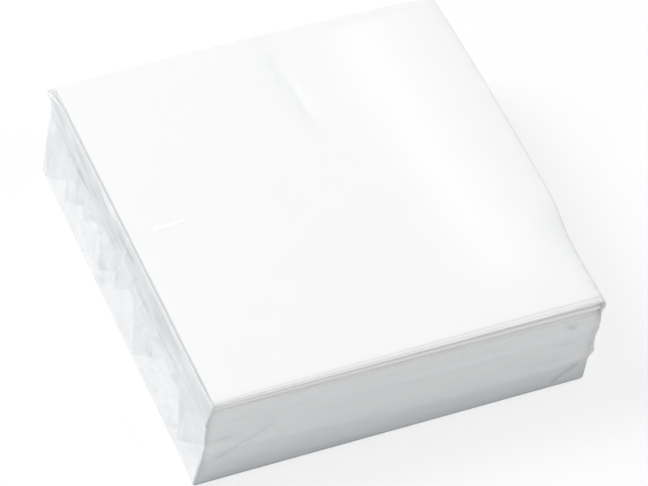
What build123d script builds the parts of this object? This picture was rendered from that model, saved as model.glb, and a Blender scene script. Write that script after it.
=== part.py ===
"""Film-wrapped pack of quarter-folded paper napkins, in millimetres.

The origin is the middle of the underside. +X runs along the front of the pack to the right,
+Y to the back and +Z up. Each napkin is one folded sheet: its first crease lies on the left,
its second crease in front, and its cut edges lie on the right and at the back.
"""

import os
from math import radians, sin

from build123d import *

# One napkin
napkin_side = 165.0
sheet_thickness = 0.19
layer_gap = 0.08

# The stack
napkin_count = 50
stack_sway = 0.3
sway_step = 137.5

# The film and its room round the stack
film_thickness = 0.04
side_play = 1.0
end_play = 1.8
film_edge_radius = 0.55

# The folded ends of the film
tuck_depth = 1.1
flap_depth = 14.0
flap_lift = 0.5
pleat_count = 9
pleat_depth = 0.7
pleat_length = 19.0
pleat_unevenness = 0.3
pleat_step = 101.0

# The long seal of the film, along the back
seal_width = 12.0

# Sizes that follow
edge = napkin_side / 2
leaf_thickness = 2 * sheet_thickness + layer_gap
napkin_thickness = 2 * leaf_thickness + layer_gap
crease_bevel = 0.8 * sheet_thickness
pack_height = napkin_count * napkin_thickness + 2 * film_thickness
pack_half_x = edge + end_play + film_thickness
pack_half_y = edge + side_play + film_thickness
tuck_reach = pack_height / 2
pleat_pitch = 2 * (pack_half_y - tuck_reach) / pleat_count
BOTH_SIDES = (-1, 1)

os.makedirs("parts", exist_ok=True)


def sleeve_section(inset):
    """Draw the film seen from its end, moved inward by the inset."""
    with Locations((0, pack_height / 2)):
        RectangleRounded(2 * (pack_half_y - inset), pack_height - 2 * inset, film_edge_radius - inset)


def press_in(end, inset, corners, apex, depth):
    """Press a three-sided hollow into one end of the pack: the corners lie in the end, the apex behind it."""
    end_x = end * (pack_half_x - inset)
    with BuildSketch(Plane.YZ.offset(end_x)) as mouth:
        Polygon(*corners, align=None)
    bottom = Vertex(end_x - end * depth, *apex)
    loft(sections=[mouth.sketch.face(), bottom], ruled=True, mode=Mode.SUBTRACT)


def fold_ends(inset):
    """Fold both ends of the film: a tuck at each upright edge, and pleats that point down from under the flap."""
    for end in BOTH_SIDES:
        for side in BOTH_SIDES:
            upright = side * (pack_half_y - inset)
            middle = pack_height / 2
            corners = [
                (upright, film_edge_radius),
                (upright, pack_height - film_edge_radius),
                (upright - side * tuck_reach, middle),
            ]
            press_in(end, inset, corners, (upright - side * 0.6 * tuck_reach, middle), tuck_depth)
        for number in range(pleat_count):
            centre = (number - (pleat_count - 1) / 2) * pleat_pitch
            uneven = 1 + pleat_unevenness * sin(radians(end * number * pleat_step))
            half_width = pleat_pitch / 3 * uneven
            top = pack_height - flap_depth + half_width
            corners = [
                (centre - half_width, top),
                (centre + half_width, top),
                (centre, top - pleat_length * uneven),
            ]
            press_in(end, inset, corners, (centre, top - half_width), pleat_depth * uneven)


# One napkin, folded twice: a round crease in front holds two leaves, each with a pressed crease on the left
with BuildPart() as folded_napkin:
    with BuildSketch(Plane.YZ):
        with Locations((napkin_thickness / 4, napkin_thickness / 2)):
            Rectangle(napkin_side - napkin_thickness / 2, napkin_thickness)
        with Locations((-edge + napkin_thickness / 2, napkin_thickness / 2)):
            Circle(napkin_thickness / 2)
        with Locations((leaf_thickness, napkin_thickness / 2)):
            Rectangle(napkin_side, layer_gap, mode=Mode.SUBTRACT)
    extrude(amount=edge, both=True)
    with BuildSketch(Plane.XZ) as leaves:
        with Locations((0, leaf_thickness / 2), (0, napkin_thickness - leaf_thickness / 2)):
            Rectangle(napkin_side, leaf_thickness)
        chamfer(leaves.vertices().group_by(Axis.X)[0], crease_bevel)
        with Locations((leaf_thickness / 2, napkin_thickness / 2)):
            Rectangle(napkin_side - leaf_thickness, layer_gap)
    extrude(amount=edge, both=True, mode=Mode.INTERSECT)
    # The slit between the two layers of each leaf, closed at the creases
    for leaf_base in (0, leaf_thickness + layer_gap):
        with BuildSketch(Plane.XY.offset(leaf_base + sheet_thickness)):
            with Locations((sheet_thickness, napkin_thickness / 2)):
                Rectangle(napkin_side, napkin_side)
        extrude(amount=layer_gap, mode=Mode.SUBTRACT)

# The stack: each napkin lies flat on the one below it, a little out of line
for number in range(1, napkin_count + 1):
    turn = radians(number * sway_step)
    base = film_thickness + (number - 1) * napkin_thickness
    with BuildPart() as napkin:
        with Locations((stack_sway * sin(turn), stack_sway * sin(2 * turn), base)):
            add(folded_napkin.part)
    napkin.part.label = f"napkin_{number:02d}"
    export_step(napkin.part, f"parts/napkin_{number:02d}.step")

# The room inside the film
with BuildPart() as film_room:
    with BuildSketch(Plane.YZ):
        sleeve_section(film_thickness)
    extrude(amount=pack_half_x - film_thickness, both=True)
    fold_ends(film_thickness)

# The flap that closes one end: it hangs from the top edge and stands a little off at its free edge
with BuildPart() as flap:
    with BuildSketch(Plane.XZ):
        with BuildLine():
            hinge = pack_height - film_edge_radius
            foot = pack_height - flap_depth
            inner_top = (pack_half_x - film_thickness / 2, hinge)
            inner_foot = (pack_half_x + flap_lift, foot)
            outer_foot = (pack_half_x + flap_lift + film_thickness, foot)
            outer_top = (pack_half_x + film_thickness / 2, hinge)
            Polyline(inner_top, inner_foot, outer_foot, outer_top, close=True)
        make_face()
    extrude(amount=pack_half_y, both=True)
    with BuildSketch(Plane.YZ.offset(pack_half_x - film_thickness)):
        with Locations((0, pack_height)):
            Trapezoid(2 * pack_half_y, flap_depth, 45, align=(Align.CENTER, Align.MIN), rotation=180)
    extrude(amount=flap_lift + 3 * film_thickness, mode=Mode.INTERSECT)

# The film: a thin sleeve round the stack, folded shut at both ends and sealed along the back
with BuildPart() as film_wrap:
    with BuildSketch(Plane.YZ):
        sleeve_section(0)
    extrude(amount=pack_half_x, both=True)
    fold_ends(0)
    add(film_room.part, mode=Mode.SUBTRACT)
    add(flap.part)
    add(mirror(flap.part, about=Plane.YZ, mode=Mode.PRIVATE))
    with BuildSketch(Plane.XZ.offset(-pack_half_y)):
        with Locations((0, pack_height / 2)):
            Rectangle(2 * (pack_half_x - film_edge_radius), seal_width)
    extrude(amount=-film_thickness)
film_wrap.part.label = "film_wrap"
export_step(film_wrap.part, "parts/film_wrap.step")
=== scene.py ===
import math

import bpy
import numpy as np
from mathutils import Matrix, Quaternion, Vector


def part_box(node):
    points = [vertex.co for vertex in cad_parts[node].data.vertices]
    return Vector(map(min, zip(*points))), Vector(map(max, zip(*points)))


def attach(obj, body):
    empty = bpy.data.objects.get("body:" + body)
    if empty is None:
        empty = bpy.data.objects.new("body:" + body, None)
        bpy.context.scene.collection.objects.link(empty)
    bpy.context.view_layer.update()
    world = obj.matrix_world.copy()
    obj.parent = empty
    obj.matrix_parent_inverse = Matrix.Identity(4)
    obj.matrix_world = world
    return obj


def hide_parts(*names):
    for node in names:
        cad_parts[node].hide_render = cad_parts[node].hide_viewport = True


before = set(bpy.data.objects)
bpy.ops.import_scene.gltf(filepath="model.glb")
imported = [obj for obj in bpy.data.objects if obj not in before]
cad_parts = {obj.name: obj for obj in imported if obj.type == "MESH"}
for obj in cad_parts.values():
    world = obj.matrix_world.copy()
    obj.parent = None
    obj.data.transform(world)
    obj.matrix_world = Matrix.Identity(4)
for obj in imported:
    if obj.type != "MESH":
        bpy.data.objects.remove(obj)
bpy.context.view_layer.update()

bl_info = {
    "name": "Napkin Pack",
    "version": (1, 0, 0),
    "blender": (4, 5, 0),
    "location": "3D View > Sidebar > Napkin Pack",
    "description": "Folds a stack of paper napkins and wraps it in clear film",
    "category": "Object",
}

MM = 0.001
NAPKIN_NODES = sorted(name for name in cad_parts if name.startswith("napkin_"))
TOP_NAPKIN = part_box(NAPKIN_NODES[-1])
NAPKIN_SIDE = TOP_NAPKIN[1].x - TOP_NAPKIN[0].x
FILM_LOW, FILM_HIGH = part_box("film_wrap")
NEARLY_ZERO = 1e-6

# The right edge of the stack is drawn in towards the front: shares of half the side between which it is,
# share of its bow that is lost there, and how much more it hangs down on the way
DRAWN_FROM, DRAWN_TO = 0.34, 0.7
DRAWN_LOSS = 0.68
DRAWN_DROOP = 14.0

# Share of a bow that is lost at the ends of its edge
BOW_LOSS = 0.5

# How far the front folds open in the middle of the pack, and how much that grows from left to right
SPREAD_MIDDLE, SPREAD_GROWTH = 0.6, 0.8

# Roundness of a fold that is open or pressed shut, and points along the side of its sheet
OPEN_NOSE, SHUT_NOSE = 0.95, 0.15
OPEN_STEPS, SHUT_STEPS = 91, 45

# Haze of the film on top, on its sides and on its folded ends, and what a hanging layer takes off there
TOP_HAZE, SIDE_HAZE, END_HAZE, LAYER_HAZE = 0.03, 0.3, 0.78, 0.09

# Share of the film's painted shade colour in the darkest folds, and what the painted shadow line along the
# foot of the front adds
FOLD_SHADE, FOOT_SHADE = 0.556, 0.44

# Folds that hang down on the left end, in mm: place of the tip, height of the tip, width at the top
LEFT_PLEATS = (
    (79, 1, 29), (59, 8, 22), (42, 15, 13), (22, 8, 20),
    (6, 15, 13), (-17, 1, 26), (-28, 16, 10), (-64, 4, 24),
)

# Long creases near the top of the left end, in mm: start, end and rise as a share of the crease height
LEFT_CREASES = (
    ((54, 38), (31, 37), -1.7),
    ((34, 36.5), (7, 35.5), -0.8),
    ((14, 45.5), (-8, 45), -1.6),
    ((-30, 36.2), (-55, 37), -1.1),
    ((-33, 47.5), (-58, 46), -1.0),
    ((36, 47.5), (20, 45.5), -0.8),
    ((62, 47), (40, 44.5), -0.7),
    ((62, 42), (41, 42.5), 1.0),
    ((37, 39), (6, 38), 1.1),
    ((3, 50), (2, 37), 1.0),
    ((-39, 40.7), (-69, 41.8), 1.3),
    ((31, 48.8), (13, 48), 0.7),
    ((-11, 42), (-31, 41), 0.6),
)

# Bumps at the front edge of the right end, in mm: height, reach upwards, reach to the back and bulge
RIGHT_BUMPS = ((33, 4, 5, 1.5), (25, 4, 5, 1.0), (18, 4, 5, 1.6), (47.5, 2, 6, 0.9))

# Pulls in the top of the film, in mm: start and end
BACK_PULL = ((4, 92), (11, 24))
LEFT_PULL = ((-82, 4.5), (-50, 7))

# Folds of the top napkins at the front right corner, in mm, from the lowest up: gap below, opening, set-back
TOP_FOLDS = ((0.0, 0.2, 1.0), (0.3, 0.35, 0.2), (0.2, 0.45, 1.0), (0.45, 1.1, 0.0))

# Pulls in the front of the film: start and end as shares of its width and height, and the fold's height in mm
FRONT_PULLS = (
    ((0.015, 0.28), (0.085, 0.38), 0.5),
    ((0.07, 0.36), (0.135, 0.52), 0.5),
    ((0.125, 0.51), (0.185, 0.59), 0.4),
    ((0.01, 0.56), (0.075, 0.555), 0.35),
    ((0.915, 0.84), (0.945, 0.72), 0.7),
    ((0.87, 0.59), (0.985, 0.545), 0.3),
    ((0.80, 0.42), (0.97, 0.36), 0.2),
    ((0.91, 0.05), (0.94, 0.18), 0.65),
    ((0.93, 0.15), (0.985, 0.26), 0.65),
)


class Value:
    """A node's output. Python's operators on it add Math nodes to its tree."""

    def __init__(self, graph, socket):
        self.graph = graph
        self.socket = socket

    def __add__(self, other):
        return self.graph.math("ADD", self, other)

    def __sub__(self, other):
        return self.graph.math("SUBTRACT", self, other)

    def __rsub__(self, other):
        return self.graph.math("SUBTRACT", other, self)

    def __mul__(self, other):
        return self.graph.math("MULTIPLY", self, other)

    def __truediv__(self, other):
        return self.graph.math("DIVIDE", self, other)

    def __pow__(self, other):
        return self.graph.math("POWER", self, other)

    __radd__ = __add__
    __rmul__ = __mul__


class Made:
    """A node, whose outputs are read by name or number."""

    def __init__(self, graph, node):
        self.graph = graph
        self.node = node

    def __getitem__(self, key):
        return Value(self.graph, self.node.outputs[key])


class Graph:
    """A node tree, and the one method that adds nodes to it."""

    def __init__(self, tree):
        self.tree = tree

    def node(self, kind, settings=None, sockets=None):
        """Adds a node: its settings come first, then the values or links of its sockets."""
        node = self.tree.nodes.new(kind)
        for name, value in (settings or {}).items():
            setattr(node, name, value)
        for key, value in (sockets or {}).items():
            if isinstance(value, Value):
                self.tree.links.new(value.socket, node.inputs[key])
            else:
                node.inputs[key].default_value = value
        return Made(self, node)

    def math(self, operation, *operands):
        """Adds a Math node on values and numbers."""
        return self.node("ShaderNodeMath", {"operation": operation}, dict(enumerate(operands)))[0]

    def noise(self, place, scale, detail=2.0, seed=0.0):
        """Noise between 0 and 1 at a place."""
        sockets = {"Vector": place, "W": seed, "Scale": scale, "Detail": detail}
        return self.node("ShaderNodeTexNoise", {"noise_dimensions": "4D"}, sockets)[0]

    def vector(self, x, y, z):
        """Three values as one vector."""
        return self.node("ShaderNodeCombineXYZ", None, {0: x, 1: y, 2: z})[0]


def new_material(name):
    """An empty material and the graph of its nodes."""
    material = bpy.data.materials.new(name)
    material.use_nodes = True
    material.node_tree.nodes.clear()
    return material, Graph(material.node_tree)


def show_surface(graph, shader):
    """Links a shader to the material's output."""
    graph.node("ShaderNodeOutputMaterial", None, {"Surface": shader})


class NapkinSettings(bpy.types.PropertyGroup):
    """Sizes and colour of the folded napkins."""

    sheet_thickness: bpy.props.FloatProperty(
        name="Sheet Thickness",
        description="Thickness of one layer of tissue",
        default=0.19 * MM,
        unit="LENGTH",
        precision=5,
    )
    layer_gap: bpy.props.FloatProperty(
        name="Layer Gap",
        description="Air between two layers of a folded napkin",
        default=0.08 * MM,
        unit="LENGTH",
        precision=5,
    )
    ripple: bpy.props.FloatProperty(
        name="Ripple",
        description="How far the creased edges wander from a straight line",
        default=0.3 * MM,
        unit="LENGTH",
        precision=5,
    )
    misfold: bpy.props.FloatProperty(
        name="Misfold",
        description="How far the cut edges of one napkin's layers miss each other",
        default=0.35 * MM,
        unit="LENGTH",
        precision=5,
    )
    fold_opening: bpy.props.FloatProperty(
        name="Fold Opening",
        description="How far the folds of the top napkins open, as a share of the table's sizes",
        default=1.0,
    )
    puff_depth: bpy.props.FloatProperty(
        name="Puff Depth",
        description="How far behind its fold the top napkin comes to lie level",
        default=1.6 * MM,
        unit="LENGTH",
        precision=5,
    )
    side_bow: bpy.props.FloatProperty(
        name="Side Bow",
        description="How far the right side of the top napkin bows out",
        default=4.1 * MM,
        unit="LENGTH",
        precision=5,
    )
    back_bow: bpy.props.FloatProperty(
        name="Back Bow",
        description="How far the back of the top napkin bows out",
        default=3.2 * MM,
        unit="LENGTH",
        precision=5,
    )
    droop: bpy.props.FloatProperty(
        name="Droop",
        description="How far the cut edge of the top napkin hangs down on the right",
        default=0.35 * MM,
        unit="LENGTH",
        precision=5,
    )
    colour: bpy.props.FloatVectorProperty(
        name="Tissue Colour",
        description="Colour of the tissue",
        default=(0.938, 0.938, 0.94),
        subtype="COLOR",
    )


class FilmSettings(bpy.types.PropertyGroup):
    """Sizes and colour of the clear film."""

    thickness: bpy.props.FloatProperty(
        name="Film Thickness",
        description="Thickness of the film",
        default=0.03 * MM,
        unit="LENGTH",
        precision=5,
    )
    edge_radius: bpy.props.FloatProperty(
        name="Edge Radius",
        description="Radius of the film over the edges of the stack",
        default=0.6 * MM,
        unit="LENGTH",
        precision=5,
    )
    flap_depth: bpy.props.FloatProperty(
        name="Flap Depth",
        description="How far the top flap hangs down over each end",
        default=13.0 * MM,
        unit="LENGTH",
        precision=4,
    )
    flap_lift: bpy.props.FloatProperty(
        name="Flap Lift",
        description="How far the free edge of each flap stands off",
        default=0.5 * MM,
        unit="LENGTH",
        precision=5,
    )
    seal_width: bpy.props.FloatProperty(
        name="Seal Width",
        description="Width of the lap seal along the back",
        default=12 * MM,
        unit="LENGTH",
        precision=5,
    )
    tuck_depth: bpy.props.FloatProperty(
        name="Tuck Depth",
        description="How far the corner tucks are pushed in",
        default=0.9 * MM,
        unit="LENGTH",
        precision=4,
    )
    pleat_depth: bpy.props.FloatProperty(
        name="Pleat Depth",
        description="How far the pleats under the flap are pushed in",
        default=0.35 * MM,
        unit="LENGTH",
        precision=4,
    )
    crease_height: bpy.props.FloatProperty(
        name="Crease Height",
        description="Height of the sharp creases of the folded ends",
        default=0.4 * MM,
        unit="LENGTH",
        precision=5,
    )
    seed: bpy.props.IntProperty(
        name="Crease Seed",
        description="Picks where the small creases of the folded ends lie",
        default=7,
    )
    colour: bpy.props.FloatVectorProperty(
        name="Film Colour",
        description="Colour of the light that the film scatters",
        default=(0.962, 0.976, 0.987),
        subtype="COLOR",
    )
    # Painted shade: the colour towards which the film is darkened deep in its folds, along its creases and at
    # its foot
    painted_shade_colour: bpy.props.FloatVectorProperty(
        name="Film Shade Colour",
        description="Darkest colour of the film, at its foot and deep in its folds",
        default=(0.292, 0.353, 0.398),
        subtype="COLOR",
    )


class StageSettings(bpy.types.PropertyGroup):
    """Camera, floor and light."""

    azimuth: bpy.props.FloatProperty(
        name="Camera Azimuth",
        description="Where the camera stands round the pack",
        default=math.radians(-31.997),
        subtype="ANGLE",
    )
    elevation: bpy.props.FloatProperty(
        name="Camera Elevation",
        description="How high the camera stands above the horizon",
        default=math.radians(50.277),
        subtype="ANGLE",
    )
    roll: bpy.props.FloatProperty(
        name="Camera Roll",
        description="How far the camera is turned about its view",
        default=math.radians(11.072),
        subtype="ANGLE",
    )
    distance: bpy.props.FloatProperty(
        name="Camera Distance",
        description="Distance from the camera to the pack",
        default=1.8,
        unit="LENGTH",
    )
    lens: bpy.props.FloatProperty(
        name="Focal Length",
        description="Focal length of the lens",
        default=248.93,
        unit="CAMERA",
    )
    floor_colour: bpy.props.FloatVectorProperty(
        name="Floor Colour",
        description="Colour of the floor",
        default=(0.97, 0.97, 0.97),
        subtype="COLOR",
    )
    sky_strength: bpy.props.FloatProperty(
        name="Sky Strength",
        description="Brightness of the even light from all round",
        default=0.5,
    )
    key_power: bpy.props.FloatProperty(
        name="Key Power",
        description="Power of the large lamp behind the pack on the left",
        default=22.8,
        unit="POWER",
    )
    front_power: bpy.props.FloatProperty(
        name="Front Power",
        description="Power of the long lamp above the front of the pack",
        default=4.9,
        unit="POWER",
    )
    strip_power: bpy.props.FloatProperty(
        name="Strip Power",
        description="Power of the narrow lamp behind the pack, which the film mirrors",
        default=0.045,
        unit="POWER",
    )


class PackSettings(bpy.types.PropertyGroup):
    """All settings of the pack."""

    napkins: bpy.props.PointerProperty(type=NapkinSettings, name="Napkins", description="Folded napkins")
    film: bpy.props.PointerProperty(type=FilmSettings, name="Film", description="Clear film")
    stage: bpy.props.PointerProperty(type=StageSettings, name="Stage", description="Camera, floor and light")


def tissue_material(colour):
    """Soft matt tissue: short fibres and fine embossed dots, which follow the open sheet."""
    material, graph = new_material("tissue")
    place = graph.node("ShaderNodeAttribute", {"attribute_name": "open_sheet"})["Vector"]
    fibres = graph.noise(place, 2400.0, 4.0)
    clouds = graph.noise(place, 60.0, 3.0)
    dots = graph.node(
        "ShaderNodeTexVoronoi", {"feature": "F1"}, {"Vector": place, "Scale": 900.0, "Randomness": 0.25}
    )
    tone = graph.node(
        "ShaderNodeMix",
        {"data_type": "RGBA"},
        {0: clouds * 0.5 + fibres * 0.3, 6: (*[c * 0.97 for c in colour], 1.0), 7: (*colour, 1.0)},
    )[2]

    # Painted shade of a crease: a darker line beside the second crease; its place and width as shares of the
    # folded side
    line_place, line_width = 0.128, 0.013
    along = graph.node("ShaderNodeSeparateXYZ", None, {0: place})["Y"]
    from_fold = graph.math("ABSOLUTE", along) / NAPKIN_SIDE
    painted_crease_line = graph.math("MAXIMUM", 1.0 - graph.math("ABSOLUTE", from_fold - line_place) / line_width, 0.0)
    tone = graph.node(
        "ShaderNodeMix",
        {"data_type": "RGBA"},
        {0: painted_crease_line * 0.6, 6: tone, 7: (*[c * 0.6 for c in colour], 1.0)},
    )[2]
    height = fibres * 0.6 + dots["Distance"] * 0.4
    bump = graph.node(
        "ShaderNodeBump", None, {"Strength": 0.25, "Distance": 0.05 * MM, "Height": height}
    )["Normal"]
    shader = graph.node(
        "ShaderNodeBsdfPrincipled",
        None,
        {
            "Base Color": tone,
            "Roughness": 0.9 + fibres * 0.1,
            "Normal": bump,
            "Specular IOR Level": 0.2,
        },
    )
    show_surface(graph, shader["BSDF"])
    return material


def napkin_tree():
    """Node tree that folds one square sheet twice: the first crease on the left, the second in front."""
    tree = bpy.data.node_groups.new("folded_napkin", "GeometryNodeTree")
    for name, kind in (
        ("Side", "NodeSocketFloat"),
        ("Sheet Thickness", "NodeSocketFloat"),
        ("Layer Gap", "NodeSocketFloat"),
        ("Place", "NodeSocketVector"),
        ("Ripple", "NodeSocketFloat"),
        ("Misfold", "NodeSocketFloat"),
        ("Lift", "NodeSocketFloat"),
        ("Press", "NodeSocketFloat"),
        ("Puff", "NodeSocketFloat"),
        ("Puff Depth", "NodeSocketFloat"),
        ("Set Back", "NodeSocketFloat"),
        ("Bow", "NodeSocketVector"),
        ("Droop", "NodeSocketFloat"),
        ("Nose", "NodeSocketFloat"),
        ("Seed", "NodeSocketFloat"),
        ("Steps", "NodeSocketInt"),
        ("Tissue", "NodeSocketMaterial"),
    ):
        tree.interface.new_socket(name=name, in_out="INPUT", socket_type=kind)
    tree.interface.new_socket(name="Geometry", in_out="OUTPUT", socket_type="NodeSocketGeometry")
    graph = Graph(tree)
    given = graph.node("NodeGroupInput")
    side, sheet, seed = given["Side"], given["Sheet Thickness"], given["Seed"]
    layer_step = sheet + given["Layer Gap"]
    thickness = layer_step * 4 - given["Layer Gap"]
    edge = side / 2

    grid = graph.node(
        "GeometryNodeMeshGrid",
        None,
        {"Size X": 2.0, "Size Y": 2.0, "Vertices X": given["Steps"], "Vertices Y": given["Steps"]},
    )["Mesh"]
    flat = graph.node("ShaderNodeSeparateXYZ", None, {0: graph.node("GeometryNodeInputPosition")[0]})
    across, along = flat["X"], flat["Y"]

    # A share of the grid on each side of a crease turns round it, and the rest runs flat
    crease_share = 0.14

    def turn(place):
        """Angle round the crease."""
        return graph.math("MINIMUM", graph.math("MAXIMUM", place / crease_share, -1.0), 1.0) * (math.pi / 2)

    def run(place):
        """Share of the way from the crease to the cut edge."""
        return graph.math("MAXIMUM", graph.math("ABSOLUTE", place) - crease_share, 0.0) / (1 - crease_share)

    first_turn, second_turn = turn(across), turn(along)
    first_run, second_run = run(across), run(along)
    radius = layer_step * (graph.math("SINE", first_turn) * 0.5 + 1.0)
    x = sheet / 2 - edge + layer_step / 2 * (1.0 - graph.math("COSINE", first_turn))
    x = x + first_run * (side - sheet / 2 - layer_step / 2)
    nose = thickness / 2 * given["Nose"]
    y = nose - edge - radius * given["Nose"] * graph.math("COSINE", second_turn) + second_run * (side - nose)
    z = thickness / 2 + radius * graph.math("SINE", second_turn)

    # Towards the front the stack is pressed and the folds of the top napkins open, most of all on the right
    spread = x / side * SPREAD_GROWTH + SPREAD_MIDDLE
    sprung = spread * (0.5 - y / side)
    upper = graph.math("SINE", second_turn) * 0.5 + 0.5
    from_nose = 1.0 - graph.math("COSINE", second_turn)
    y = y + given["Puff Depth"] * spread * upper * from_nose * (1.0 - second_run)
    y = y + given["Set Back"] * spread * (1.0 - second_run)
    z = z * (1.0 - given["Press"] * sprung) + given["Lift"] * sprung + given["Puff"] * sprung * upper

    # The cut edges bow out, and the one on the right hangs down
    bow = graph.node("ShaderNodeSeparateXYZ", None, {0: given["Bow"]})
    behind = graph.math("MAXIMUM", y / edge, 0.0)
    drawn = graph.node(
        "ShaderNodeMapRange",
        {"interpolation_type": "SMOOTHSTEP"},
        {"Value": y / edge, "From Min": -DRAWN_FROM, "From Max": -DRAWN_TO},
    )["Result"]
    bowed_x = x + first_run * bow["X"] * (1.0 - behind * behind * BOW_LOSS) * (1.0 - drawn * DRAWN_LOSS)
    y = y + second_run * bow["Y"] * (1.0 - x * x / (edge * edge) * BOW_LOSS)
    x = bowed_x
    steepness = 16.0
    hanging = graph.math("MAXIMUM", first_run * steepness - (steepness - 1.0), 0.0) ** 2.0
    z = z - given["Droop"] * hanging * (1.0 + drawn * (1.0 - drawn) * DRAWN_DROOP)

    # Cut edges that miss each other, and creases that wander
    x_miss = 1.0 - graph.math("SIGN", across) * 0.5 + graph.math("SINE", seed * 2.4 + 3.3)
    y_miss = graph.math("SIGN", along) * 0.5 + graph.math("SINE", seed * 3.7)
    x = x + first_run * given["Misfold"] * x_miss
    y = y - second_run * given["Misfold"] * y_miss
    wander_y = graph.noise(graph.vector(x, 0.0, 0.0), 45.0, 3.0, seed) - 0.5
    wander_x = graph.noise(graph.vector(0.0, y, 0.0), 45.0, 3.0, seed + 50.0) - 0.5
    x_soft = x + wander_x * given["Ripple"] * (1.0 - first_run) ** 2.0
    y_soft = y + wander_y * given["Ripple"] * (1.0 - second_run) ** 2.0

    sheet_place = graph.vector(across * side, along * side, seed)
    folded = graph.node(
        "GeometryNodeStoreNamedAttribute",
        {"data_type": "FLOAT_VECTOR", "domain": "POINT"},
        {"Geometry": grid, "Name": "open_sheet", "Value": sheet_place},
    )["Geometry"]
    shape = graph.vector(x_soft, y_soft, z)
    place = graph.node("ShaderNodeVectorMath", {"operation": "ADD"}, {0: shape, 1: given["Place"]})[0]
    folded = graph.node("GeometryNodeSetPosition", None, {"Geometry": folded, "Position": place})["Geometry"]

    # Smooth all over, apart from the cut edges, which have a face on one side only
    folded = graph.node("GeometryNodeSetShadeSmooth", None, {"Geometry": folded})[0]
    inner_edge = graph.node("GeometryNodeInputMeshEdgeNeighbors")["Face Count"] - 1.0
    folded = graph.node(
        "GeometryNodeSetShadeSmooth", {"domain": "EDGE"}, {"Geometry": folded, "Shade Smooth": inner_edge}
    )[0]
    folded = graph.node("GeometryNodeRealizeInstances", None, {"Geometry": folded})[0]
    folded = graph.node("GeometryNodeSetMaterial", None, {"Geometry": folded, "Material": given["Tissue"]})[0]
    graph.node("NodeGroupOutput", None, {0: folded})
    return tree


def bake_modifiers(piece):
    """Turns what the piece's modifiers make into its plain mesh."""
    bpy.context.view_layer.update()
    depsgraph = bpy.context.evaluated_depsgraph_get()
    mesh = bpy.data.meshes.new_from_object(piece.evaluated_get(depsgraph))
    piece.modifiers.clear()
    piece.data = mesh
    mesh.name = piece.name


def new_piece(name):
    """An empty mesh object at the origin."""
    piece = bpy.data.objects.new(name, bpy.data.meshes.new(name))
    bpy.context.scene.collection.objects.link(piece)
    return piece


def fold_shapes(settings):
    """For each napkin, at the front right corner: how far it is moved up, its press, opening and set-back."""
    scale = settings.fold_opening * MM
    pressed_nodes = NAPKIN_NODES[:-len(TOP_FOLDS)]
    level = -scale * sum(gap + opening for gap, opening, set_back in TOP_FOLDS)
    press = -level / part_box(pressed_nodes[-1])[1].z
    shapes = [(-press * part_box(node)[0].z, press, 0.0, 0.0) for node in pressed_nodes]
    for gap, opening, set_back in TOP_FOLDS:
        shapes.append((level + gap * scale, 0.0, opening * scale, set_back * scale))
        level += (gap + opening) * scale
    return shapes


class PACK_OT_fold_napkins(bpy.types.Operator):
    """Fold each napkin of the stack from one square sheet"""

    bl_idname = "napkin_pack.fold_napkins"
    bl_label = "Fold Napkins"

    def execute(self, context):
        settings = context.scene.napkin_pack.napkins
        tissue = tissue_material(settings.colour)
        tree = napkin_tree()
        sockets = {item.name: item.identifier for item in tree.interface.items_tree if item.in_out == "INPUT"}
        for number, (node, shape) in enumerate(zip(NAPKIN_NODES, fold_shapes(settings))):
            low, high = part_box(node)
            middle = (low + high) / 2
            lift, press, opening, set_back = shape
            on_top = node == NAPKIN_NODES[-1]
            level = (high.z / FILM_HIGH.z) ** 4
            piece = new_piece(node.replace("napkin", "folded_napkin"))
            fold = piece.modifiers.new("fold", "NODES")
            fold.node_group = tree
            for name, value in (
                ("Side", NAPKIN_SIDE),
                ("Sheet Thickness", settings.sheet_thickness),
                ("Layer Gap", settings.layer_gap),
                ("Place", (middle.x, middle.y / 2, low.z)),
                ("Ripple", settings.ripple),
                ("Misfold", settings.misfold),
                ("Lift", lift),
                ("Press", press),
                ("Puff", opening),
                ("Puff Depth", settings.puff_depth if on_top else opening),
                ("Set Back", set_back),
                ("Bow", (settings.side_bow * level, settings.back_bow * level, 0.0)),
                ("Droop", settings.droop * high.z / FILM_HIGH.z),
                ("Nose", OPEN_NOSE if opening else SHUT_NOSE),
                ("Seed", float(number)),
                ("Steps", OPEN_STEPS if opening else SHUT_STEPS),
                ("Tissue", tissue),
            ):
                fold[sockets[name]] = value
            thicken = piece.modifiers.new("thickness", "SOLIDIFY")
            thicken.thickness = settings.sheet_thickness
            thicken.offset = 0
            bake_modifiers(piece)
            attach(piece, "root")
            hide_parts(node)
            below = NAPKIN_NODES[number - 1] if number else "film_wrap"
        return {"FINISHED"}


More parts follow.
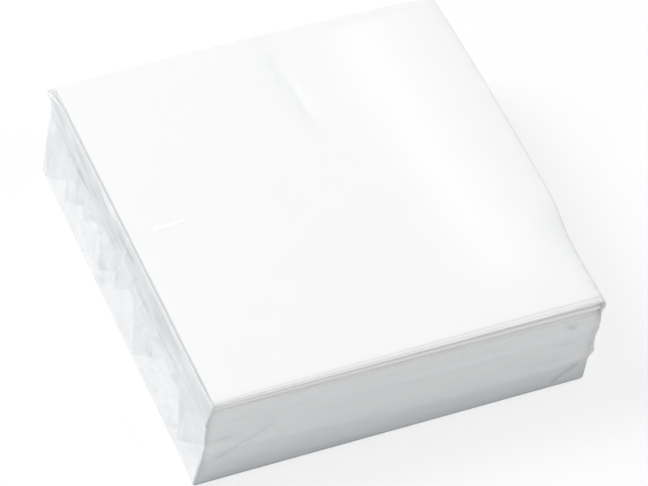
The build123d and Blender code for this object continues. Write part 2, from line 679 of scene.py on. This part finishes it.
def film_material(colour, painted_shade_colour):
    """Thin clear film: it lets the paper show, mirrors the lamps, is hazy where it is folded and has shade
    painted into its colour.
    """
    material, graph = new_material("clear_film")
    place = graph.node("ShaderNodeTexCoord")["Object"]
    haze = graph.node("ShaderNodeAttribute", {"attribute_name": "film_haze"})["Fac"]
    shade = graph.node("ShaderNodeAttribute", {"attribute_name": "film_shade"})["Fac"]
    stretch = graph.node("ShaderNodeMapping", None, {"Vector": place, "Scale": (0.35, 1.0, 1.0)})["Vector"]
    streaks = graph.noise(stretch, 90.0, 4.0)
    crinkle = graph.noise(place, 420.0, 3.0)
    height = streaks * 0.5 + crinkle * haze
    bump = graph.node(
        "ShaderNodeBump", None, {"Strength": 0.3, "Distance": 0.25 * MM, "Height": height}
    )["Normal"]
    facing = graph.node("ShaderNodeLayerWeight", None, {"Blend": 0.5, "Normal": bump})["Facing"]
    mirror_head_on, mirror_grazing = 0.035, 0.8
    mirror = mirror_head_on + facing ** 5.0 * mirror_grazing
    # Painted shade: the film_shade attribute darkens the film's colour towards the painted shade colour
    tone = graph.node(
        "ShaderNodeMix", {"data_type": "RGBA"}, {0: shade, 6: (*colour, 1.0), 7: (*painted_shade_colour, 1.0)}
    )[2]
    clear = graph.node("ShaderNodeBsdfTransparent", None, {"Color": (1.0, 1.0, 1.0, 1.0)})["BSDF"]
    scatter = graph.node(
        "ShaderNodeBsdfPrincipled",
        None,
        {"Base Color": tone, "Roughness": 0.5, "Specular IOR Level": 0.3, "Normal": bump},
    )["BSDF"]
    gloss = graph.node(
        "ShaderNodeBsdfPrincipled",
        None,
        {"Base Color": (0.98, 0.99, 1.0, 1.0), "Metallic": 1.0, "Roughness": 0.09, "Normal": bump},
    )["BSDF"]
    hazy = graph.node("ShaderNodeMixShader", None, {0: haze * (0.8 + streaks * 0.4), 1: clear, 2: scatter})[0]
    show_surface(graph, graph.node("ShaderNodeMixShader", None, {0: mirror, 1: hazy, 2: gloss})[0])
    return material


def spaced(low, high, rim, *runs):
    """Places from low to high: close together over the two rims, and a step apart in the runs between."""
    over_rim = rim * np.array((0.0, 0.3, 0.65))
    inner = []
    start = low + rim
    for end, step in runs:
        end = high - rim if end is None else end
        inner.append(np.linspace(start, end, max(round((end - start) / step), 1), endpoint=False))
        start = end
    return np.concatenate((low + over_rim, *inner, [high - rim], (high - over_rim)[::-1]))


def between(places, low, high):
    """The places that lie between two others, apart from those two."""
    return [place for place in places if low + NEARLY_ZERO < place < high - NEARLY_ZERO]


def wall_cells(us, vs, meets, to_space):
    """Cells of one wall as rings of points. A cell on an edge also takes the points of the wall it meets."""
    at_low, at_right, at_high, at_left = meets
    last_u, last_v = len(us) - 2, len(vs) - 2
    cells = []
    for i in range(last_u + 1):
        for j in range(last_v + 1):
            u0, u1, v0, v1 = us[i], us[i + 1], vs[j], vs[j + 1]
            ring = [(u0, v0)]
            ring += [(u, v0) for u in between(at_low, u0, u1)] if j == 0 else []
            ring.append((u1, v0))
            ring += [(u1, v) for v in between(at_right, v0, v1)] if i == last_u else []
            ring.append((u1, v1))
            ring += [(u, v1) for u in between(at_high, u0, u1)[::-1]] if j == last_v else []
            ring.append((u0, v1))
            ring += [(u0, v) for v in between(at_left, v0, v1)[::-1]] if i == 0 else []
            cells.append([to_space(u, v) for u, v in ring])
    return cells


def wrap_box(half_x, half_y, height, rim):
    """Points and faces of a box of film, finest on its folded ends, with one flat face for its underside."""
    # Each run gives the place where it ends and its step
    xs = spaced(-half_x, half_x, rim, (-46 * MM, 1.2 * MM), (56 * MM, 2.6 * MM), (None, 1.2 * MM))
    back_xs = spaced(-half_x, half_x, rim, (None, 4 * MM))
    top_runs = ((-78 * MM, 0.7 * MM), (2 * MM, 2.8 * MM), (11 * MM, 0.7 * MM), (None, 2.8 * MM))
    top_ys = spaced(-half_y, half_y, rim, *top_runs)
    left_ys = spaced(-half_y, half_y, rim, (None, 0.76 * MM))
    right_ys = spaced(-half_y, half_y, rim, (None, 1.3 * MM))
    zs = spaced(0.0, height, rim, (None, 0.72 * MM))
    back_zs = spaced(0.0, height, rim, (None, 1.2 * MM))
    cells = wall_cells(xs, top_ys, (xs, right_ys, back_xs, left_ys), lambda u, v: (u, v, height))
    cells += wall_cells(xs, zs, (xs, zs, xs, zs), lambda u, v: (u, -half_y, v))
    cells += wall_cells(-back_xs[::-1], back_zs, (back_xs, zs, -xs[::-1], zs), lambda u, v: (-u, half_y, v))
    left_meets = (left_ys, zs, -top_ys[::-1], back_zs)
    cells += wall_cells(-left_ys[::-1], zs, left_meets, lambda u, v: (-half_x, -u, v))
    cells += wall_cells(right_ys, zs, (right_ys, back_zs, top_ys, zs), lambda u, v: (half_x, u, v))
    underside = [(-half_x, y, 0.0) for y in left_ys]
    underside += [(x, half_y, 0.0) for x in back_xs[1:]]
    underside += [(half_x, y, 0.0) for y in right_ys[-2::-1]]
    underside += [(x, -half_y, 0.0) for x in xs[-2:0:-1]]
    cells.append(underside)
    numbers = {}
    faces = []
    for ring in cells:
        corners = [tuple(round(float(c), 7) for c in point) for point in ring]
        faces.append([numbers.setdefault(corner, len(numbers)) for corner in corners])
    return np.array(list(numbers)), faces


def round_edges(points, half_x, half_y, height, radius):
    """Rounds the edges of a box of points, apart from those of its underside."""
    reach = np.array((half_x - radius, half_y - radius, height - radius))
    core = np.clip(points, (-reach[0], -reach[1], -radius), reach)
    out = points - core
    length = np.linalg.norm(out, axis=1, keepdims=True)
    return core + out / np.where(length > 0, length, 1) * np.where(length > 0, radius, 0)


def near(value, centre, width):
    """A soft bump of 1 at the centre that falls to nothing within about two widths."""
    return np.exp(-(((value - centre) / width) ** 2))


def ramp(value, start, reach):
    """0 up to the start, and from there rising evenly to 1 over the reach."""
    return np.clip((value - start) / reach, 0, 1)


def fall(value, reach):
    """1 at zero, and from there falling evenly to 0 over the reach."""
    return np.clip(1 - value / reach, 0, 1)


def crease(u, v, start, end, width, height):
    """A sharp fold along a straight line of a sheet, which fades out at both ends."""
    (u0, v0), (u1, v1) = start, end
    length = math.hypot(u1 - u0, v1 - v0)
    along = ((u - u0) * (u1 - u0) + (v - v0) * (v1 - v0)) / length
    across = ((u - u0) * (v1 - v0) - (v - v0) * (u1 - u0)) / length
    beyond = np.maximum(np.maximum(-along, along - length), 0)
    fading_share = 0.3
    fade = ramp(np.minimum(along, length - along), 0, fading_share * length)
    return height * fade * np.exp(-(np.abs(across) + beyond) / width)


def pleat(u, v, tip, top, width, depth):
    """A fold that hangs down to a point: sunk along its steep side, level with the end along its slant."""
    tip_u, tip_v = tip
    steep_share = 0.3
    wide = width * ramp(v, tip_v, top - tip_v) + NEARLY_ZERO
    from_steep = tip_u - u + steep_share * wide
    from_slant = wide - tip_u + u
    sunk = np.clip(np.minimum(from_steep / (steep_share * wide), from_slant / wide), 0, 1)
    inside = ramp(np.minimum(from_steep, from_slant), 0, 1.4 * MM) * (v < top)
    return -depth * sunk * ramp(top - v, 0, 5 * MM), inside


def drawn_pleats(seed, half_width, height):
    """Places of the pleats on an end whose folds aren't set one by one."""
    random = np.random.default_rng(seed)
    count = 9
    places = np.linspace(-0.8, 0.95, count) * half_width + random.uniform(-3, 3, count) * MM
    return [(place, random.uniform(0.04, 0.4) * height, random.uniform(11, 19) * MM) for place in places]


def drawn_creases(seed, half_width, height, flap_depth):
    """Long creases in the flap of an end whose creases aren't set one by one."""
    random = np.random.default_rng(seed)
    creases = []
    crease_count = 11
    for _ in range(crease_count):
        start = random.uniform(-0.95, 0.6) * half_width
        end = start + random.uniform(0.25, 0.8) * half_width
        level = height - random.uniform(0.1, 1.05) * flap_depth
        drift = random.uniform(-2.5, 2.5) * MM
        rise = random.uniform(0.6, 1.3) * random.choice((-1.0, 1.0))
        creases.append(((start, level), (end, level + drift), rise))
    return creases


def folded_end(u, v, height, half_width, settings, seed, pleats, creases):
    """How far one folded end of the film stands out, how much shade is painted on it and where its layers
    hang.
    """
    random = np.random.default_rng(seed)
    out = np.zeros_like(u)

    # Triangular tucks at the two upright edges, deepest at a share of their reach and narrowing inwards
    reach = height / 2
    deepest, narrowing = 0.6, 0.6
    from_middle = np.abs(v - height / 2) / (height / 2)
    tucked = np.zeros_like(u)
    for side in (-1, 1):
        inward = (half_width - side * u) / reach
        sink = np.clip(np.minimum(inward / deepest, (1 - inward) / (1 - deepest)), 0, 1)
        open_share = fall(from_middle, np.maximum(1 - narrowing * inward, 0.05))
        out -= settings.tuck_depth * sink * open_share
        tucked = np.maximum(tucked, sink * open_share > 0.08)

    # Folds that hang down in points from the film above them
    top = 0.6 * height
    hanging = ramp(v, top - 2 * MM, 2 * MM)
    for tip_u, tip_v, width in pleats:
        depth = settings.pleat_depth * random.uniform(0.6, 1.1)
        sunk, inside = pleat(u, v, (tip_u, tip_v), top, width, depth)
        out += sunk
        hanging = np.maximum(hanging, inside * random.uniform(0.7, 1.0))

    # The flap from the top edge, with its uneven free edge and long creases
    unevenness = 1.2 * MM * np.sin(u * 70 + seed) + 0.8 * MM * np.sin(u * 190 + 2 * seed)
    foot = height - settings.flap_depth + unevenness
    flap = ramp(v, foot, 0.8 * MM)
    out += flap * settings.flap_lift * fall(v - foot, height - foot)
    # Painted crease shading: darker along grooves and lighter along ridges
    painted_crease_shading = np.zeros_like(u)
    for start, end, rise in creases:
        fold = crease(u, v, start, end, 0.6 * MM, rise)
        out += settings.crease_height * fold
        painted_crease_shading -= 1.3 * fold

    # Soft slanted streaks, where the layers lie closer together or further apart, and level ones near the top
    streaks = np.zeros_like(u)
    streak_count = 70
    for _ in range(streak_count):
        centre_u = random.uniform(-1, 1) * half_width
        centre_v = random.uniform(0.1, 1.0) * height
        angle = random.normal(0.72 * math.pi, 0.35) if centre_v < 0.7 * height else random.normal(0, 0.12)
        along = (u - centre_u) * math.cos(angle) + (v - centre_v) * math.sin(angle)
        across = (v - centre_v) * math.cos(angle) - (u - centre_u) * math.sin(angle)
        blot = near(along, 0, random.uniform(4, 10) * MM) * near(across, 0, random.uniform(1, 2.5) * MM)
        streaks += random.uniform(-0.3, 0.3) * blot

    # Small sharp creases all over
    small_crease_count = 70
    for _ in range(small_crease_count):
        centre_u = random.uniform(-1, 1) * half_width
        centre_v = random.uniform(0.08, 0.8) * height
        angle = random.normal(0.7 * math.pi, 0.5)
        half = random.uniform(2, 8) * MM
        du, dv = half * math.cos(angle), half * math.sin(angle)
        start, end = (centre_u - du, centre_v - dv), (centre_u + du, centre_v + dv)
        fold = crease(u, v, start, end, 0.7 * MM, random.choice((-1.0, 1.0)))
        out += settings.crease_height * random.uniform(0.3, 0.9) * fold
        painted_crease_shading -= 0.35 * fold
    # Painted shade, partly the tone of film lying in layers: darker where layers hang, in the tucks and under
    # the flap, darker or lighter along the creases, with random streaks of tone
    below_rim = ramp(height - v, 0, 2.5 * MM)
    shade = 0.2 * hanging + 0.04 * tucked + 0.2 * flap * below_rim + 0.4 * painted_crease_shading + streaks
    return out, np.clip(shade, 0, 1), hanging


def film_shape(points, half_x, half_y, height, settings, napkins):
    """Moves the points of a box of film to the shape of the wrap, and gives its haze and painted shade at
    each.
    """
    x, y, z = points.T
    depth = 6 * MM
    at_left = ramp(-x, half_x - depth, depth) ** 2
    at_right = ramp(x, half_x - depth, depth) ** 2
    at_front = ramp(-y, half_y - depth, depth) ** 2
    at_back = ramp(y, half_y - depth, depth) ** 2
    at_top = (z / height) ** 4

    # The ends draw in at their foot and at the top edge, and the left one flares on its way down
    draw_in = 0.5 * MM * fall(z, 2 * MM) ** 2 + 0.45 * MM * at_top
    flare = 1.6 * MM * (1 - z / height) ** 2 * (0.6 - 0.4 * y / half_y)
    pleats = np.array(LEFT_PLEATS) * MM
    creases = [(np.array(start) * MM, np.array(end) * MM, rise) for start, end, rise in LEFT_CREASES]
    left, left_shade, left_layers = folded_end(y, z, height, half_y, settings, settings.seed, pleats, creases)
    seed = settings.seed + 4
    pleats = drawn_pleats(seed, half_y, height)
    creases = drawn_creases(seed, half_y, height, settings.flap_depth)
    right, right_shade, right_layers = folded_end(-y, z, height, half_y, settings, seed, pleats, creases)
    right = np.maximum(right - draw_in, -0.65 * MM) - 0.2 * MM * at_top

    # The left end has a loose ear with a neck at the back, and an upright edge that wanders in front
    ear = 2.4 * MM * near(z, height, 4 * MM)
    neck = 0.9 * MM * near(z, 38 * MM, 6 * MM)
    wander = 0.5 * MM * np.sin(z / height * 10 + 0.5)
    left = left - draw_in + (ear - neck) * near(y, half_y, 5 * MM) + wander * near(y, -half_y, 5 * MM)
    left = np.maximum(left, -0.85 * MM) + flare

    # The right end bows out with the top napkin, less where it is drawn in, and has bumps at its front edge
    nicks = 0.1 * MM * (1 + np.sin(y * 160 + 1) * np.sin(y * 61))
    drawn = ramp(-y / half_y, DRAWN_FROM, DRAWN_TO - DRAWN_FROM)
    drawn = drawn ** 2 * (3 - 2 * drawn)
    side_share = (1 - BOW_LOSS * np.maximum(y / half_y, 0) ** 2) * (1 - DRAWN_LOSS * drawn)
    at_top_napkin = np.minimum(z / (height - 1.6 * MM), 1) ** 4
    right = right + (napkins.side_bow * side_share + nicks) * at_top_napkin
    for level, reach_up, reach_in, bulge in np.array(RIGHT_BUMPS) * MM:
        right = right + bulge * near(z, level, reach_up) * near(y, -half_y, reach_in)

    # The back bows out at the top and carries the lap seal
    sealed = ramp(settings.seal_width / 2 - np.abs(z - height / 2), 0, 1.2 * MM)
    back = napkins.back_bow * (1 - BOW_LOSS * (x / half_x) ** 2) * at_top + 0.15 * MM * sealed

    # The front is taut, with low waves, higher on the right, and a few pulls that start at its corners
    broad_waves = 0.22 * MM * np.sin(z / height * 17 + 1.5 * np.sin(x * 30))
    fine_waves = 0.14 * MM * np.sin(z / height * 31 + 4 * np.sin(x * 18 + 1))
    to_right = np.clip(x / half_x, 0, 1)
    front = (broad_waves + fine_waves) * np.sin(math.pi * z / height) * (1 + 0.6 * to_right)
    front = front - 0.45 * MM * fall(z, 1.5 * MM)
    front_pulls = np.zeros_like(x)
    for (u0, v0), (u1, v1), bend in FRONT_PULLS:
        start = ((2 * u0 - 1) * half_x, v0 * height)
        end = ((2 * u1 - 1) * half_x, v1 * height)
        front_pulls = front_pulls + crease(x, z, start, end, 1.0 * MM, bend)
    front_pulls = np.minimum(front_pulls, 0.6)
    front = front + front_pulls * MM

    # The top is drawn over the stack and round its front fold, hangs down on the right and has two pulls
    spread = np.clip(x / NAPKIN_SIDE * SPREAD_GROWTH + SPREAD_MIDDLE, 0.2, 1)
    to_front_edge = fall(y + half_y, napkins.puff_depth * spread)
    to_right_edge = ramp(x, half_x - 10 * MM, 10 * MM)
    round_fold = 1.0 * MM * spread * (1 - np.sqrt(1 - to_front_edge ** 2))
    droop = 0.85 * napkins.droop * (1 + DRAWN_DROOP * drawn * (1 - drawn)) * to_right_edge ** 2
    ripples = 0.03 * MM * (1 + np.sin(x * 48 + 7 * y + 1.0)) * (1 - (y / half_y) ** 4)
    back_pull = crease(x, y, *(np.array(BACK_PULL) * MM), 3.5 * MM, 1.0)
    left_pull = crease(x, y, *(np.array(LEFT_PULL) * MM), 1.8 * MM, 1.0)
    top = 0.1 * MM - round_fold - droop + ripples + 0.2 * MM * back_pull + 1.2 * MM * left_pull

    moved = points.copy()
    moved[:, 0] += right * at_right - left * at_left
    moved[:, 1] += back * at_back - front * at_front
    moved[:, 2] += top * at_top

    # Where the film covers a side of the stack, a fold or its edges
    wall, fade = 1.2 * MM, 1.5 * MM
    on_left = ramp(-x, half_x - wall, wall)
    on_front = ramp(-y, half_y - wall, wall)
    on_back = ramp(y, half_y - wall, wall)
    on_top = ramp(z, height - wall, wall)
    on_right = ramp(x, half_x - wall, wall) * ramp(height - z, 1.8 * MM, fade)
    below_folds = ramp(height - z, 1.5 * MM + 4.8 * MM * spread, fade)
    # Painted shade: the top darkens towards its right edge, where it falls away from the light, most in the
    # front part, and gets hazier there
    rim_width = (5 + 3 * drawn) * MM
    crinkle = 1 + 0.35 * drawn * np.sin(1100 * y + 600 * x) * np.sin(430 * y - 900 * x)
    right_rim = on_top * ramp(x, half_x - rim_width, rim_width) ** 2 * (0.5 + 0.8 * drawn) * crinkle
    # Painted shade: the front darkens towards its foot, and a painted shadow line runs along the foot where
    # it meets the floor; both also raise the haze
    foot = fall(z, 18 * MM) * on_front
    painted_foot_shadow = fall(z - 0.48 * MM, 1.6 * MM) * on_front
    # Painted crease shade along the pull at the back of the top, which also makes it hazier
    pulled = back_pull * at_top

    # The film is clear on top and over the top napkins, hazy on the sides and haziest where it is folded
    # Painted shade from the folded ends, the creases of the front pulls, the foot, the back pull and the
    # right rim of the top
    shade = left_shade * on_left + right_shade * on_right + 1.2 * front_pulls * on_front
    shade = shade + 0.65 * foot + 0.8 * painted_foot_shadow + 0.22 * pulled + 0.3 * right_rim
    haze = TOP_HAZE + SIDE_HAZE * np.maximum(on_front, on_back) * below_folds + 0.1 * sealed * on_back
    haze = haze + 0.18 * foot + 0.25 * painted_foot_shadow + 0.1 * pulled + 0.09 * right_rim
    haze = np.maximum(haze, (END_HAZE - LAYER_HAZE * left_layers) * on_left)
    haze = np.maximum(haze, (END_HAZE - LAYER_HAZE * right_layers) * on_right)
    return moved, haze, FOLD_SHADE * np.clip(shade, 0, 1) + FOOT_SHADE * painted_foot_shadow


class PACK_OT_wrap_film(bpy.types.Operator):
    """Wrap the stack in clear film with folded ends"""

    bl_idname = "napkin_pack.wrap_film"
    bl_label = "Wrap Film"

    def execute(self, context):
        settings = context.scene.napkin_pack.film
        napkins = context.scene.napkin_pack.napkins
        half_x = FILM_HIGH.x - settings.flap_lift
        half_y = -FILM_LOW.y
        height = FILM_HIGH.z
        points, faces = wrap_box(half_x, half_y, height, settings.edge_radius)
        moved, haze, shade = film_shape(points, half_x, half_y, height, settings, napkins)
        moved += round_edges(points, half_x, half_y, height, settings.edge_radius) - points
        piece = new_piece("film_wrap_sheet")
        mesh = piece.data
        mesh.from_pydata(moved.tolist(), [], faces)
        mesh.attributes.new("film_haze", "FLOAT", "POINT").data.foreach_set("value", haze)
        mesh.attributes.new("film_shade", "FLOAT", "POINT").data.foreach_set("value", shade)
        mesh.polygons.foreach_set("use_smooth", [True] * len(mesh.polygons))
        mesh.materials.append(film_material(settings.colour, settings.painted_shade_colour))
        thicken = piece.modifiers.new("thickness", "SOLIDIFY")
        thicken.thickness = settings.thickness
        thicken.offset = -1
        bake_modifiers(piece)
        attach(piece, "root")
        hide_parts("film_wrap")
        return {"FINISHED"}


def aim(place, target):
    """Rotation that turns a lamp or camera at a place towards a target."""
    return (Vector(target) - Vector(place)).to_track_quat("-Z", "Y")


def add_lamp(name, place, size, power, turn=None):
    """A soft lamp that faces the pack, or straight down with a turn."""
    lamp = bpy.data.lights.new(name, "AREA")
    lamp.shape = "RECTANGLE"
    lamp.size, lamp.size_y = size
    lamp.energy = power
    holder = bpy.data.objects.new(name, lamp)
    holder.location = place
    holder.rotation_mode = "QUATERNION"
    down = turn is not None
    holder.rotation_quaternion = Quaternion((0, 0, 1), turn) if down else aim(place, (0.0, 0.0, 0.03))
    bpy.context.scene.collection.objects.link(holder)


def seen_directly(graph):
    """1 for what the camera sees directly, in a mirror or through glass, and 0 for light on surfaces."""
    path = graph.node("ShaderNodeLightPath")
    seen = path["Is Camera Ray"] + path["Is Glossy Ray"] + path["Is Transmission Ray"]
    return graph.math("MINIMUM", seen, 1.0)


class PACK_OT_set_stage(bpy.types.Operator):
    """Set the camera, the floor and the soft light"""

    bl_idname = "napkin_pack.set_stage"
    bl_label = "Set Stage"

    def execute(self, context):
        scene = context.scene
        settings = scene.napkin_pack.stage
        scene.view_settings.view_transform = "Standard"
        self.add_camera(scene, settings)
        self.add_floor(settings)
        self.add_light(scene, settings)
        return {"FINISHED"}

    def add_camera(self, scene, settings):
        """A long lens at the photograph's angle."""
        a, e = settings.azimuth, settings.elevation
        back = Vector((math.sin(a) * math.cos(e), -math.cos(a) * math.cos(e), math.sin(e)))
        target = Vector((0.0009, -0.0043, 0.025))
        camera = bpy.data.objects.new("camera", bpy.data.cameras.new("camera"))
        camera.data.sensor_width = 36.0
        camera.data.lens = settings.lens
        camera.data.clip_end = 20.0
        place = target + back * settings.distance
        turned = aim(place, target).to_matrix() @ Matrix.Rotation(settings.roll, 3, "Z")
        camera.matrix_world = Matrix.Translation(place) @ turned.to_4x4()
        scene.collection.objects.link(camera)
        scene.camera = camera

    def add_floor(self, settings):
        """A plain pale floor under the pack."""
        floor = new_piece("floor")
        reach = 3.0
        corners = [(-reach, -reach, 0), (reach, -reach, 0), (reach, reach, 0), (-reach, reach, 0)]
        floor.data.from_pydata(corners, [], [(0, 1, 2, 3)])
        material, graph = new_material("pale_floor")
        place = graph.node("ShaderNodeTexCoord")["Object"]
        roughness = 0.85 + graph.noise(place, 30.0) * 0.1
        sockets = {"Base Color": (*settings.floor_colour, 1.0), "Roughness": roughness}
        plain = graph.node("ShaderNodeBsdfPrincipled", None, sockets)["BSDF"]
        white = graph.node("ShaderNodeEmission", None, {"Color": (1, 1, 1, 1), "Strength": 1.0})[0]
        white_share = seen_directly(graph) * 0.68
        show_surface(graph, graph.node("ShaderNodeMixShader", None, {0: white_share, 1: plain, 2: white})[0])
        floor.data.materials.append(material)

    def add_light(self, scene, settings):
        """An even sky, a large lamp behind on the left, a long one over the front and a narrow one behind."""
        world = bpy.data.worlds.new("pale_room")
        world.use_nodes = True
        world.node_tree.nodes.clear()
        graph = Graph(world.node_tree)
        strength = settings.sky_strength + seen_directly(graph) * (1 - settings.sky_strength)
        sky = graph.node("ShaderNodeBackground", None, {"Color": (1, 1, 1, 1), "Strength": strength})
        graph.node("ShaderNodeOutputWorld", None, {"Surface": sky[0]})
        scene.world = world
        add_lamp("key_lamp", place=(-1.1, 0.85, 1.45), size=(1.0, 1.0), power=settings.key_power)
        add_lamp("front_lamp", place=(0.5, -0.62, 1.4), size=(0.3, 1.3), power=settings.front_power, turn=0.0)
        add_lamp(
            "strip_lamp",
            place=(0.659, 0.923, 1.30),
            size=(0.03, 0.28),
            power=settings.strip_power,
            turn=math.radians(4.7),
        )


class PACK_PT_panel(bpy.types.Panel):
    """Settings and steps of the napkin pack"""

    bl_idname = "PACK_PT_panel"
    bl_label = "Napkin Pack"
    bl_space_type = "VIEW_3D"
    bl_region_type = "UI"
    bl_category = "Napkin Pack"

    def draw(self, context):
        settings = context.scene.napkin_pack
        for group, operator in (
            (settings.napkins, PACK_OT_fold_napkins),
            (settings.film, PACK_OT_wrap_film),
            (settings.stage, PACK_OT_set_stage),
        ):
            box = self.layout.box()
            for name in group.__annotations__:
                box.prop(group, name)
            box.operator(operator.bl_idname)


CLASSES = (
    NapkinSettings,
    FilmSettings,
    StageSettings,
    PackSettings,
    PACK_OT_fold_napkins,
    PACK_OT_wrap_film,
    PACK_OT_set_stage,
    PACK_PT_panel,
)


def register():
    """Adds the classes and the settings to Blender."""
    for cls in CLASSES:
        bpy.utils.register_class(cls)
    bpy.types.Scene.napkin_pack = bpy.props.PointerProperty(type=PackSettings)


def unregister():
    """Takes the settings and the classes out of Blender."""
    del bpy.types.Scene.napkin_pack
    for cls in reversed(CLASSES):
        bpy.utils.unregister_class(cls)


def main():
    """Builds the pack and its stage."""
    register()
    bpy.ops.napkin_pack.set_stage()
    bpy.ops.napkin_pack.fold_napkins()
    bpy.ops.napkin_pack.wrap_film()


if __name__ == "__main__":
    main()
